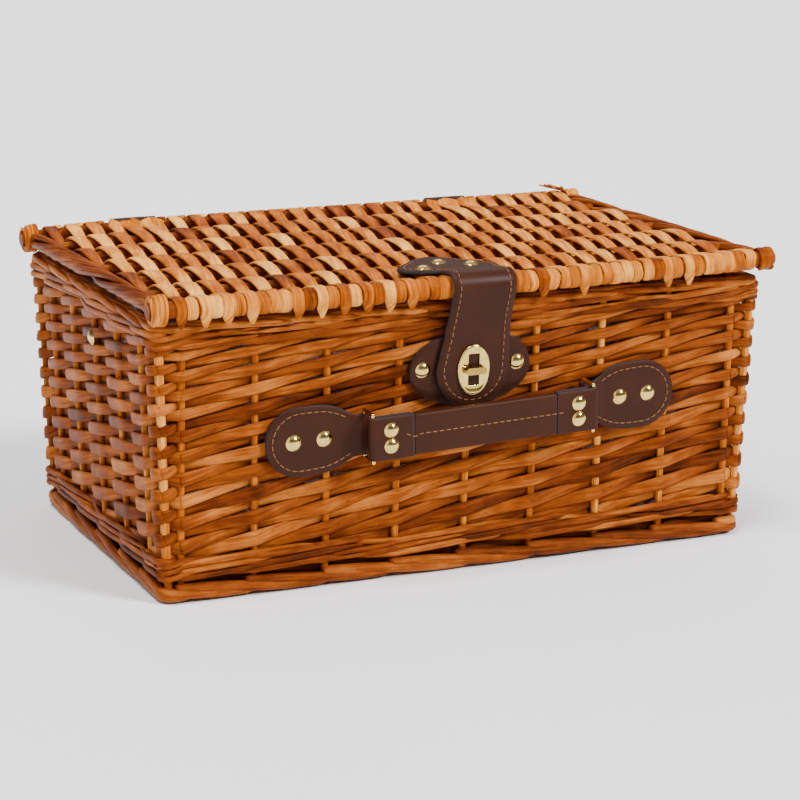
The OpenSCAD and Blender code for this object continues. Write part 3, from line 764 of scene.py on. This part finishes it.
def wale(bag, phase, z_mid, d, slant, out_off, in_off, tone):
    """One row of three-rod wale at height z_mid, of rods of diameter d, rising slant over each stroke."""
    for j in range(WALE_RODS):
        begin = int(rng.integers(0, COUNT))
        # Each line round the basket takes three rods
        for q0, q1 in ((begin, begin + 11), (begin + 11, begin + 22), (begin + 22, begin + COUNT)):
            q = np.linspace(q0, q1, 8 * (q1 - q0) + 1)
            u = (q - j - phase) % WALE_RODS
            offs = [out_off, out_off + 0.5, out_off, 0, in_off, 0, out_off]
            off = np.interp(u, [0, 0.5, 1, 1.5, 2, 2.5, 3], offs)
            z = z_mid + slant * np.interp(u, [0, 1, 1.6, 2, 2.5, 3], [-1, 1, 0.6, 0, -0.8, -1])
            z = z + np.interp(q, np.arange(q0, q1 + 1), rng.normal(0, 0.22, q1 - q0 + 1))
            corner = np.isin(np.round(q).astype(int) % COUNT, CORNERS) & (np.abs(q - np.round(q)) < 0.3)
            off = off + np.where(corner & (off > 0), 0.9, 0.0)
            point, normal = rail(q, z, off)
            size = d * np.clip(0.35 + 0.11 * from_ends(len(q)), 0, 1) * np.linspace(1.08, 0.9, len(q))
            size = size * rng.uniform(0.92, 1.06)
            bag.rod(point, normal, size * 1.08, size * 0.86, tone=rng.normal(tone, 0.2), sides=9, power=2.2)


for name, row_heights, look in (
    ("upper_wale", (153.4, 157.9), (3.8, 1.45, 3.7, -3.4, 0.62)),
    ("lower_wale", (16.2, 20.1, 24.0), (3.5, 1.25, 3.5, -3.2, 0.4)),
):
    bag = Bag()
    for phase, z_mid in enumerate(row_heights):
        wale(bag, phase, z_mid, *look)
    bag.build(name + "_rods", "willow", (name,))


# --- Borders: one rod starts at each stake and runs over the next ones ---
def smoothed(values):
    return np.convolve(np.pad(values, 3, mode="edge"), np.ones(7) / 7, mode="valid")


def border(bag, z_ref, d, reach, offs, heights, shift, tones):
    """A border of rods, each reach mm long; offs and heights go along a rod, from its start to its end."""
    lengths = run_lengths(z_ref)
    total = lengths[-1]
    count = int(round(total / PITCH))
    for i in range(count):
        s0 = i * (total / count) + shift + rng.normal(0, 1.5)
        s = np.linspace(s0, s0 + reach * rng.uniform(0.96, 1.05), 44)
        u = np.linspace(0, 1, len(s))
        off = smoothed(spread(offs, len(u)) + 0.25 * np.sin(u * 7 + i))
        z = smoothed(spread(heights, len(u)) + rng.normal(0, 0.12))
        turns = np.floor(s / total)
        q = np.interp(s - turns * total, lengths, np.arange(COUNT + 1)) + turns * COUNT
        point, normal = rail(q, z, off)
        size = d * rng.uniform(0.9, 1.08)
        size = size * np.interp(u, [0, 0.015, 0.6, 0.93, 1], [0.72, 1.0, 0.98, 0.8, 0.35])
        bag.rod(point, normal, size, size, tone=rng.normal(*tones), sides=12, power=2.1)


rim = Bag()
rim_offs, rim_heights = (-4.2, -2.6, 1.2, 3.4, 3.2), (161.6, 163.0, 162.6, 162.2, 161.0)
border(rim, 162.0, 4.9, 116, rim_offs, rim_heights, 3.0, (0.55, 0.2))
border(rim, 162.0, 4.3, 84, (-1.2, 0.6, 0.2, -1.5), (161.0, 163.6, 163.8, 161.5), 19.0, (0.6, 0.2))
rim.build("rim_border_rods", "willow", ("rim_border",))

foot = Bag()
border(foot, 5.0, 6.3, 94, (1.2, 2.2, 3.0, 2.8, 2.0), (8.4, 7.4, 5.4, 3.5, 3.2), 5.0, (0.45, 0.2))
border(foot, 5.0, 5.6, 94, (-5.2, -4.6, -4.2, -4.0), (4.2, 4.2, 4.2, 4.2), 24.0, (0.4, 0.15))
border(foot, 9.0, 5.4, 94, (-4.6, -5.4, -5.8, -6.0), (9.8, 9.4, 9.2, 9.0), 12.0, (0.3, 0.15))
foot.build("foot_border_rods", "willow", ("foot_border",))


# --- Base: sticks along X and skeins over and under them along Y ---
BASE_HX = out_x(20.0) + 1.5 - 10.2
BASE_HY = out_y(20.0) + 1.5 - 10.2
BASE_Z = LOWER_WALE_Z + 0.2 + 4.0
BASE_PITCH = 7.2
base_sticks = [(i - 2) * 40.0 for i in range(5)]
sticks = Bag()
for y in base_sticks:
    x = np.linspace(-BASE_HX, BASE_HX, 60)
    line = points(x, y + 0.4 * np.sin(x * 0.03 + y), BASE_Z)
    sticks.rod(line, UP, 5.5, 5.5, tone=rng.uniform(0.3, 0.7), sides=12, power=2.0)
sticks.build("base_stick_rods", "willow", ("base_sticks",))
base = Bag()
base_count = int(2 * BASE_HX / BASE_PITCH)
for m in range(base_count):
    x = (m - (base_count - 1) / 2) * 2 * BASE_HX / base_count
    signs = [1 if (m + k) % 2 else -1 for k in range(5)]
    tone = rng.normal(0.4, 0.2)
    line = [(y, BASE_Z + s * 3.0) for y, s in zip(base_sticks, signs)]
    line = [(-BASE_HY, BASE_Z - signs[0] * 1.5)] + line + [(BASE_HY, BASE_Z - signs[-1] * 1.5)]
    sideways = rng.normal(0, 0.25, len(line))
    path = rounded(points(x + sideways, *np.array(line).T), 5.0, 5.0)
    base.rod(path, x_normals(path), 6.4, 2.0, tone=tone, sides=8, power=2.9)
base.build("base_weave_rods", "willow_dark", ("base_weave",))


# --- Lid: edge sticks, inner sticks and the skeins woven round them ---
def lid_warp(p):
    """Height by which the real lid stands off its flat frame: the right front corner is ajar."""
    x, y = p[:, 0], p[:, 1]
    forward = np.clip((HINGE_Y - y) / (2 * HINGE_Y), 0, 1)
    ajar = 2.2 * np.clip((x - 20) / 180, 0, 1) ** 1.3 * forward
    droop = -2.4 * np.clip((-x - 140) / 60, 0, 1) ** 1.5 * (1 - forward)
    return ajar + droop


def lid_rod(bag, path, out, w, t, **look):
    """A rod of the lid, which follows the lid's warp."""
    path[:, 2] += lid_warp(path)
    bag.rod(path, out, w, t, **look)


def wrap(side, over, fin):
    """Points (y, z) round an edge stick, from the inside outwards; side is -1 at the front."""
    r = EDGE_R + (0.85 if over else 1.0)
    turn_by = np.radians([75, 100, 135, 170, 205] + ([232] if fin else [240, 275, 305]))
    v = 1 if over else -1
    line = [(side * HINGE_Y - side * r * cos(a), LID_Z + v * r * sin(a)) for a in turn_by]
    if fin:
        y, z = line[-1]
        line.append((y - side * 1.0, z - v * 6.5))
    return line


STICK_GAP = 2 * HINGE_Y / (INNER_STICKS + 1)
inner_y = [-HINGE_Y + STICK_GAP * (k + 1) for k in range(INNER_STICKS)]
LID_SKEINS = 53
HINGES = (-124.0, 98.0)
HINGE_W = 30.0
skein_pitch = 2 * (WEAVE_HALF_W - 1) / LID_SKEINS
lid = Bag()
for m in range(LID_SKEINS):
    x = (m - (LID_SKEINS - 1) / 2) * skein_pitch + rng.normal(0, 0.25)
    inner_signs = [-1 if (m + k) % 2 == 0 else 1 for k in range(INNER_STICKS)]
    front_over = inner_signs[0] < 0
    back_over = inner_signs[-1] < 0
    front_fin = front_over and rng.random() < (0.85 if x < -30 else 0.15)
    front = wrap(-1, front_over, front_fin)
    back = wrap(1, back_over, back_over and rng.random() < 0.5)
    at_hinge = min(abs(x - at) for at in HINGES) < HINGE_W / 2 + 2
    if at_hinge:
        back = [(HINGE_Y - 11.0, LID_Z + 4.0), (HINGE_Y - 9.2, LID_Z + 6.8)]
    mid = [(y, LID_Z + (INNER_R + 1.7 if s > 0 else -INNER_R - 1.0)) for y, s in zip(inner_y, inner_signs)]
    line = front[::-1] + mid + back
    n_front, n_back = len(front), len(back)
    sideways = np.concatenate([
        np.linspace(0.9, 0, n_front) * (1 if front_over else -1),
        [1.1 * (-1) ** (m + k) for k in range(INNER_STICKS)],
        np.linspace(0, 0.9, n_back) * (1 if back_over else -1),
    ])
    sideways += rng.normal(0, 0.35, len(line))
    control = points(x + sideways, *np.array(line).T)
    arched = [control[:n_front]]
    for a, b in zip(control[n_front - 1:-n_back], control[n_front:-n_back + 1]):
        for u in (0.18, 0.34, 0.5, 0.66, 0.82, 1.0):
            step = a + (b - a) * u
            step[2] = a[2] + (b[2] - a[2]) * (1 - cos(pi * u)) / 2
            arched.append(step[None])
    path = rounded(np.concatenate(arched + [control[-n_back + 1:]]), 2.0, 5.0, 3)
    length = distances(path)
    from_end = length if at_hinge else np.minimum(length, length[-1] - length)
    w = (7.7 + rng.normal(0, 0.3)) * np.clip(0.15 + from_end / 8, 0, 1) ** 0.7
    across = np.interp(path[:, 1], [-HINGE_Y] + inner_y + [HINGE_Y], range(INNER_STICKS + 2))
    near = 1 - np.abs(across - np.round(across)) * 2
    on_lid = np.abs(path[:, 1]) < HINGE_Y - 6
    w = w * np.where(on_lid, 0.98 + 0.42 * near, 1.0)
    t = 1.75 * np.clip(0.4 + from_end / 9, 0, 1)
    lid_rod(lid, path, x_normals(path), w, t, tone=rng.normal(0.55, 0.24), sides=8, power=3.0)
# The lid takes the paler willow, brighter here as painted top light.
lid.build("lid_weave_rods", "willow_light", ("lid_weave",), body="lid")


def lid_stick(bag, y, half, d, tone):
    """A stick of the lid along X, thick and bevelled at its ends."""
    x = np.concatenate([[-half, -half + 0.8], np.linspace(-half + 8, half - 8, 50), [half - 0.8, half]])
    line = points(x, y + 0.3 * np.sin(x * 0.021 + y), LID_Z)
    size = np.full(len(x), d)
    size[[0, -1]] = d - 1.2
    lid_rod(bag, line, UP, size, size, tone=tone, sides=16, power=2.0)


bag = Bag()
for y in inner_y:
    lid_stick(bag, y, WEAVE_HALF_W + 3, 2 * INNER_R, 0.45)
bag.build("lid_inner_stick_rods", "willow", ("lid_inner_sticks",), body="lid")
for name, s in (("lid_front_stick", -1), ("lid_back_stick", 1)):
    bag = Bag()
    lid_stick(bag, s * HINGE_Y, LID_HALF_W, 2 * EDGE_R, 0.35)
    bag.build(name + "_rod", "willow_dark", (name,), body="lid")

for name, s in (("lid_left_wale", -1), ("lid_right_wale", 1)):
    bag = Bag()
    for k in range(7):
        y = np.linspace(-HINGE_Y + 4, HINGE_Y - 4, 90)
        turn_by = s * y / (3.4 * STICK_GAP) * 2 * pi + (k // 3) * 2 * pi / 3 + (k % 3) * 0.62
        x = s * (192.4 + 3.9 * np.cos(turn_by))
        z = LID_Z + 2.9 * np.sin(turn_by) + 0.3
        size = 3.7 * rng.uniform(0.9, 1.08) * tapered(90, 0.05, 0.5)
        lid_rod(bag, points(x, y, z), UP, size, size, tone=rng.normal(0.5, 0.2), sides=10, power=2.1)
    bag.build(name + "_rods", "willow", (name,), body="lid")

TIE_TURNS = 3.1
ties = Bag()
for sx in (-1, 1):
    for sy in (-1, 1):
        for layer, r in enumerate((6.2, 7.9) if sx < 0 else (6.2,)):
            a = np.linspace(0, TIE_TURNS * 2 * pi, 90) + rng.uniform(0, 6.28)
            x = sx * np.linspace(TIE_X + 3.6, TIE_X - 4.0, 90)
            if layer:
                x = x[::-1]
            wobble = r + 0.25 * np.sin(a * 1.7)
            line = points(x, sy * HINGE_Y + wobble * np.cos(a), LID_Z + wobble * np.sin(a))
            out = points(0, np.cos(a), np.sin(a))
            w = (2.6 if layer else 4.6) * tapered(90, 0.06, 0.4)
            lid_rod(ties, line, out, w, 2.3 if layer else 1.9, tone=rng.normal(0.6, 0.2), sides=10, power=2.8)
for k in range(6):
    fan = 0.35 * (k - 2.5)
    start = np.array([TIE_X - 3.0 - k * 0.7, HINGE_Y - 1.0, LID_Z + 6.0])
    reach = np.array([-9.5 + 5.0 * fan, 3.0 - 13.0 * fan, 2.6 + 0.9 * (k % 3)])
    line = start + np.linspace(0, 1, 6)[:, None] * reach
    w = 4.2 - 0.3 * k * (k % 2)
    lid_rod(ties, line, UP, w, (1.6, 1.5, 0.8), tone=rng.uniform(0.5, 0.9), sides=8, power=2.6)
ties.build("lid_corner_tie_skeins", "willow_light", ("lid_corner_ties",), body="lid")


# --- Leather strap: one piece from the yoke on the lid to the round end over the lock ---
def flap_y(z):
    return -out_y(z) - 4.9


hump = np.radians(np.arange(200, 89, -6))
YOKE_Z = LID_TOP + 0.3 + LEATHER_T / 2
profile = [(flap_y(z), z) for z in np.arange(102.0, 151.0, 1.0)]
profile += [(flap_y(150) - 1.0, 155), (flap_y(150) - 3.2, 161.5)]
profile += [(-HINGE_Y + BEND_R * cos(a), LID_Z + BEND_R * sin(a)) for a in hump]
profile += [(-HINGE_Y + 5, LID_Z + BEND_R - 0.5), (-HINGE_Y + 11.5, YOKE_Z)]
profile += [(y, YOKE_Z) for y in np.arange(-114.0, -73.5, 1.0)]
profile = np.array(profile)
for _ in range(2):
    profile[1:-1] = (profile[:-2] + 2 * profile[1:-1] + profile[2:]) / 4
STRAP_DX = 3.5
STRAP_END_R = 23.0
SEAM_IN = 4.2
strap_path = points(LOCK_X, *profile.T)
strap_out = x_normals(strap_path)


def strap_edges(y, z):
    """Places of the strap's left and right edges, from the lock's X, at a point of its profile."""
    if z < LOCK_Z:
        reach = sqrt(max(STRAP_END_R ** 2 - (LOCK_Z - z) ** 2, 0.3))
        return -reach, reach
    if y < -119.0:
        heights = [LOCK_Z, LOCK_Z + 12, LOCK_Z + 20, 158, 200]
        left = np.interp(z, heights, [-STRAP_END_R, -20.4, -18.2, STRAP_DX - 20, STRAP_DX - 20])
        right = np.interp(z, heights, [STRAP_END_R, 23.3, 23.6, STRAP_DX + 20, STRAP_DX + 20])
        return float(left), float(right)
    depths = [-119, -117, -115, -112.5, -110, -107, -104, -100, -96, -92, -88, -84, -80, -77, -75, -74]
    left = [-16.5, -17.5, -21, -28.5, -33.5, -36.8, -37.5, -36.3, -33.5, -30, -26, -22.5, -19, -15, -11, -7]
    right = [23.5, 23.8, 24.0, 24.3, 24.6, 24.8, 24.6, 22.8, 19.6, 15.8, 12.0, 8.6, 5.4, 2, -2, -6]
    return float(np.interp(y, depths, left)), float(np.interp(y, depths, right))


left, right = np.array([strap_edges(y, z) for y, z in profile]).T
half = (right - left) / 2
middle = (right + left) / 2
strap = Bag()
strap.strip(strap_path, strap_out, 2 * half, LEATHER_T, inner=9, crown=0.15, shift=middle)
strap_obj = strap.build("closure_strap", "leather", ("strap_yoke", "strap_flap"), body=None)

stitch = Bag()
above = (profile[:, 1] > LOCK_Z) & (profile[:, 0] < -84.0)
sides = []
for s in (-1, 1):
    inset = middle + s * np.maximum(half - SEAM_IN, 0.0)
    line = strap_path + ALONG_X * inset[:, None] + strap_out * (LEATHER_T / 2 + 0.15)
    sides.append(line[above])
SEAM_END_R = STRAP_END_R - SEAM_IN
round_end = []
for a in np.radians(np.arange(-88, 89, 4)):
    x, z = LOCK_X + SEAM_END_R * sin(a), LOCK_Z - SEAM_END_R * cos(a)
    round_end.append((x, flap_y(z) - LEATHER_T / 2 - 0.15, z))
seam = np.concatenate([sides[0][::-1], round_end, sides[1]])
end_out = np.tile(strap_out[above][0], (len(round_end), 1))
stitch.stitches(seam, np.concatenate([strap_out[above][::-1], end_out, strap_out[above]]))
stitch_obj = stitch.build("closure_stitching", "thread", body=None)
for piece in (strap_obj, stitch_obj):
    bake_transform(piece)

# --- Eyelet: a domed oval ring with a long slot ---
EYELET_OFF = 6.15
turn_at = np.linspace(0, 2 * pi, 73)[:-1]
oval = np.stack([10.5 * np.sin(turn_at), 15.5 * np.cos(turn_at)], axis=1)
slot = np.clip(np.stack([16 * np.sin(turn_at), 22 * np.cos(turn_at)], axis=1), (-3.5, -9.5), (3.5, 9.5))
section = ((0, 0), (0, 0.5), (0.04, 1.15), (0.12, 1.7), (0.26, 2.0), (0.42, 1.85), (0.6, 1.4), (0.8, 1.2),
           (0.96, 1.15), (1, 1.0), (1, 0))
ring = np.array([
    [(*(o * (1 - f) + i * f), h) for f, h in section] for o, i in zip(oval, slot)
])
ring = np.stack([ring[..., 0], -EYELET_OFF - ring[..., 2], ring[..., 1]], axis=-1)
eyelet = Bag(LOCK)
eyelet.loft(ring)
eyelet.build("eyelet_ring", "brass", ("eyelet_plate",), body="strap")


# --- Backing patch of the lock ---
PATCH_R = 38.5


def patch_half(x):
    c = np.clip(np.abs(x) / PATCH_R, 0, 1) ** (1 / 0.9)
    return 22.0 * np.maximum(1 - c * c, 0) ** 0.45


patch = Bag(LOCK)
px = -PATCH_R * np.cos(np.linspace(0.02, pi - 0.02, 90))
patch.strip(points(px, -1.3, 0), FORWARD, 2 * patch_half(px), 2.2, inner=5, crown=0.1)
patch.build("lock_patch_leather", "leather", ("lock_patch",))


# --- Handle tabs, loops and grip, in the handle's frame ---
TAB_END_X = 111.0
TAB_END_R = 21.0
TAB_X = [71, 75, 78, 81, 85, 90, 96, 104, TAB_END_X]
TAB_HALF = [12.2, 12.2, 12.7, 14.2, 16.7, 19.0, 20.4, 20.9, TAB_END_R]
FOLD_R = 2.1


def tab_half(x):
    x = np.asarray(x, float)
    round_end = np.sqrt(np.maximum(TAB_END_R ** 2 - np.maximum(x - TAB_END_X, 0) ** 2, 0.2))
    return np.where(x > TAB_END_X, round_end, np.interp(x, TAB_X, TAB_HALF))


def tab_off(x):
    """Middle of the tab's outer layer, off the wall."""
    return np.interp(x, [71, 74, 79, 85, 92, 140], [5.5, 5.2, 3.9, 2.95, 2.65, 2.65])


def fold(s, off):
    """Points (x, y) of the leather's bend round a ring; s is 1 when it passes the ring's outer side."""
    turn_by = np.linspace(0, pi, 12)
    return [(RING_X + s * FOLD_R * sin(a), -off - FOLD_R * cos(a)) for a in turn_by]


def level_strip(bag, line, s, facing, w, t, **look):
    """A leather strip along (x, y) points at the handle's height, on the side s."""
    x, y = np.array(line).T
    path = points(s * x, y, 0)
    out = np.cross(unit(np.gradient(path, axis=0)), UP) * facing
    bag.strip(path, out, w, t, **look)


for name, s in (("left_handle_tab", -1), ("right_handle_tab", 1)):
    bag = Bag(HANDLE)
    xs = TAB_END_X + TAB_END_R * np.cos(np.linspace(0.03, pi / 2, 26))
    xs = np.concatenate([xs, np.arange(110.0, 71.0, -1.0)])
    bend = fold(-1, RING_OFF)
    rear_x = np.arange(74.0, 104.0, 3.0)
    line = [(x, -float(tab_off(x))) for x in xs] + bend + [(x, -1.2) for x in rear_x]
    w = 2 * np.concatenate([tab_half(xs), np.full(len(bend), 12.3), tab_half(rear_x) - 1.2])
    level_strip(bag, line, s, s, w, 1.5, inner=7, crown=0.1, bevel=0.35)
    backing_x = TAB_END_X + 20.6 * np.cos(np.linspace(0.03, pi / 2, 22))
    backing_x = np.concatenate([backing_x, np.arange(109.0, 84.0, -2.0)])
    backing_w = 2 * tab_half(backing_x) - 0.5
    bag.strip(points(s * backing_x, -1.15, 0), FORWARD, backing_w, 1.4, inner=5, bevel=0.3)
    bag.build(name + "_leather", "leather", (name,))
    bag = Bag(HANDLE)
    end = np.linspace(-1.62, 1.62, 60)
    loop = [(TAB_END_X + 17.2 * cos(a), 17.2 * sin(a)) for a in end]
    tail = [(x, float(tab_half(x)) - 3.8) for x in (108, 104, 100, 96, 92, 88, 84, 80)]
    line = [(x, -z) for x, z in tail[::-1]] + loop + tail
    seam = np.array([(s * x, -float(tab_off(x)) - 0.95, z) for x, z in line])
    bag.stitches(seam, FORWARD)
    bag.build(name + "_stitching", "thread")

GRIP_T = 5.6
for name, s in (("left_handle_loop", -1), ("right_handle_loop", 1)):
    bag = Bag(HANDLE)
    front = [(x, -HANDLE_OFF - FOLD_R) for x in np.arange(46.3, 71.0, 1.5)]
    rear = [(x, -HANDLE_OFF + FOLD_R) for x in np.arange(69.5, 46.0, -1.5)]
    level_strip(bag, front + fold(1, HANDLE_OFF) + rear, s, -s, 25.6, 1.6, inner=5, bevel=0.35, crown=0.05)
    bag.build(name + "_leather", "leather", (name,), body="handle")

bag = Bag(HANDLE)
x = np.concatenate([[-45.9, -45.6, -45.0], np.linspace(-43, 43, 60), [45.0, 45.6, 45.9]])
size = np.ones(len(x))
size[[0, -1]] = 0.93
size[[1, -2]] = 0.98
bag.rod(points(x, -HANDLE_OFF, 0), FORWARD, HANDLE_H * size, GRIP_T * 1.04 * size, sides=36, power=7.0)
bag.build("handle_cover_leather", "leather", ("handle_cover",), body="handle")
bag = Bag(HANDLE)
core = points(np.linspace(-63.5, 63.5, 40), -HANDLE_OFF, 0)
bag.rod(core, FORWARD, 22.4, 2.4, sides=16, power=8.0)
bag.build("handle_core_board", "leather", ("handle_core",), body="handle")
bag = Bag(HANDLE)
seam_x = np.linspace(-52, 52, 200)
face = np.where(np.abs(seam_x) > 46.0, 2.95, GRIP_T * 0.52 + 0.12)
seam_z = np.interp(seam_x, [-52, -46, -42, 52], [1.6, -0.9, 0.4, 0.4])
bag.stitches(points(seam_x, -HANDLE_OFF - face, seam_z), FORWARD)
bag.build("handle_stitching", "thread", body="handle")


# --- Leather hinges, round the back stick and down the back wall ---
for name, x in (("left_hinge_loop", HINGES[0]), ("right_hinge_loop", HINGES[1])):
    bag = Bag()
    r = EDGE_R + 1.15
    line = [(HINGE_Y + r * cos(a), LID_Z + r * sin(a)) for a in np.radians(np.arange(255, -16, -9))]
    line += [(HINGE_Y + 4.6, LID_Z - 5.8), (HINGE_Y + 0.8, LID_Z - 12.5), (HINGE_Y - 0.1, WALL_Z1 + 1)]
    line += [(out_y(146) + 1.9, 146.0), (out_y(141) + 1.65, 141.0), (out_y(135) + 1.65, 135.0)]
    line += [(out_y(z) + 1.65, z) for z in (130.0, 127.0, 125.0)]
    path = rounded([(x, y, z) for y, z in line], 3.0, 2.5, 3)
    w = HINGE_W - 1.0 - 5.0 * np.clip((128.5 - path[:, 2]) / 3.5, 0, 1) ** 2
    bag.strip(path, x_normals(path), w, 2.2, inner=5, crown=0.1)
    bag.build(name + "_leather", "leather", (name,))

# --- Lining: gingham, cut as a cross and folded up inside the walls ---
INSET = 9.7
FLOOR_Z = 23.4
LINING_TOP = 151.0


def lining():
    verts, faces, flats = [], [], []
    hx, hy = out_x(FLOOR_Z) - INSET, out_y(FLOOR_Z) - INSET
    rise = LINING_TOP - FLOOR_Z

    def grid(place_at, nu, nv):
        """A grid of faces; place_at gives a point in the basket and its place on the flat cloth."""
        base = len(verts)
        for a in np.arange(nu + 1) / nu:
            for b in np.arange(nv + 1) / nv:
                point, flat = place_at(a, b)
                verts.append(point)
                flats.append(flat)
        for a in range(nu):
            for b in range(nv):
                k = base + a * (nv + 1) + b
                faces.append((k, k + nv + 1, k + nv + 2, k + 1))

    def ripple(u, v):
        return abs(0.5 * sin(u * 31 + 3 * v) * sin(v * 9 + 1.3 * sin(u * 11)))

    def floor_at(a, b):
        u, v = (2 * a - 1) * hx, (2 * b - 1) * hy
        return (u, v, FLOOR_Z + 0.4 * ripple(a, b)), (u, v)

    def long_wall_at(a, b):
        z = FLOOR_Z + rise * b
        y = s * (out_y(z) - INSET - ripple(a, b) * min(1, 6 * b))
        return ((2 * a - 1) * (out_x(z) - INSET), y, z), ((2 * a - 1) * hx, s * (hy + rise * b))

    def short_wall_at(a, b):
        z = FLOOR_Z + rise * b
        x = s * (out_x(z) - INSET - ripple(a, b) * min(1, 6 * b))
        return (x, (2 * a - 1) * (out_y(z) - INSET), z), (s * (hx + rise * b), (2 * a - 1) * hy)

    grid(floor_at, 40, 26)
    for s in (-1, 1):
        grid(long_wall_at, 40, 16)
        grid(short_wall_at, 26, 16)
    marks = dict(zip(("along", "across"), np.array(flats).T))
    obj = mesh_object("lining_cloth", verts, faces, [True] * len(faces), marks, cloth_material())
    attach(obj, "basket")
    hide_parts("lining")


lining()

# --- CAD nodes that stay, with their finish ---
BRASS_NODES = (
    "hinge_rivets", "stay_rivets", "patch_rivets", "lock_base", "turn_knob", "tab_rivets",
    "left_ring", "right_ring", "handle_rivets", "yoke_rivets",
)
for name in BRASS_NODES:
    nodes[name].data.materials.clear()
    # The turn knob and lock base take the darker brass copy: painted shade.
    in_painted_shade = name in ("turn_knob", "lock_base")
    nodes[name].data.materials.append(brass_painted_shade if in_painted_shade else FINISHES["brass"])
